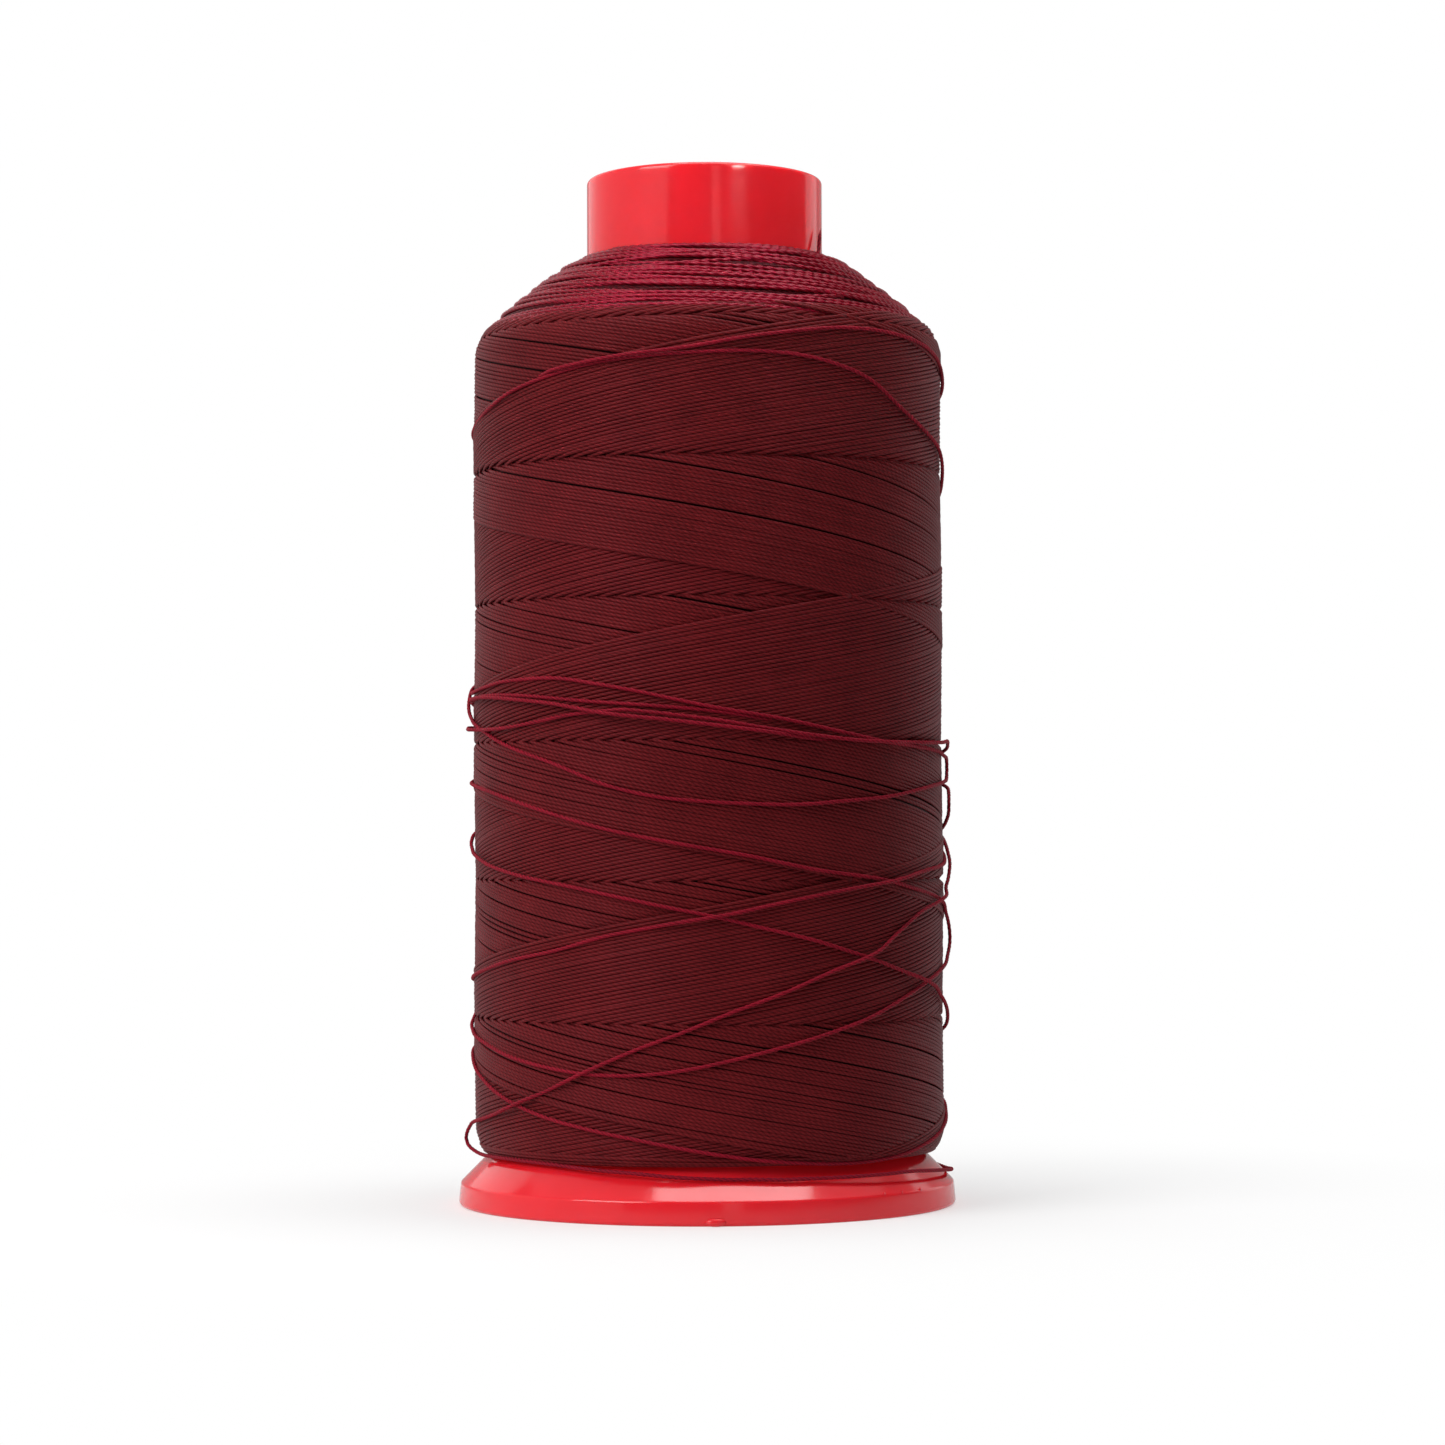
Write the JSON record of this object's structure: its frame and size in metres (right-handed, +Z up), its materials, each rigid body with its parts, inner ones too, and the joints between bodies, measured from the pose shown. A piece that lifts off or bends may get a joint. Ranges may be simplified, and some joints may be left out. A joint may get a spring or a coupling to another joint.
{
  "type": "spool of thread",
  "caption": "King spool of bonded sewing thread: moulded plastic barrel with a flared hollow foot, cross-wound thread package, slack outer turns and a loose tail.",
  "frame": {"origin": "centre of the foot's resting ring, on the surface that the spool stands on", "axes": "+Z up along the barrel; -Y towards the viewer, where the slack last turn crosses the foot; +X to the viewer's right"},
  "size_m": [0.0598, 0.0598, 0.1235],
  "materials": {
    "core_plastic": "glossy moulded red polypropylene, faintly translucent",
    "wound_thread": "bonded three-ply filament thread, burgundy, satin sheen",
    "slack_thread": "the same burgundy thread where it lies open to the light"
  },
  "bodies": {
    "root": {"spool_core": "core_plastic", "thread_package": "wound_thread", "outer_turns": "wound_thread", "shoulder_turns": "slack_thread", "thread_tail": "slack_thread", "thread_end": "slack_thread"}
  },
  "joints": []
}
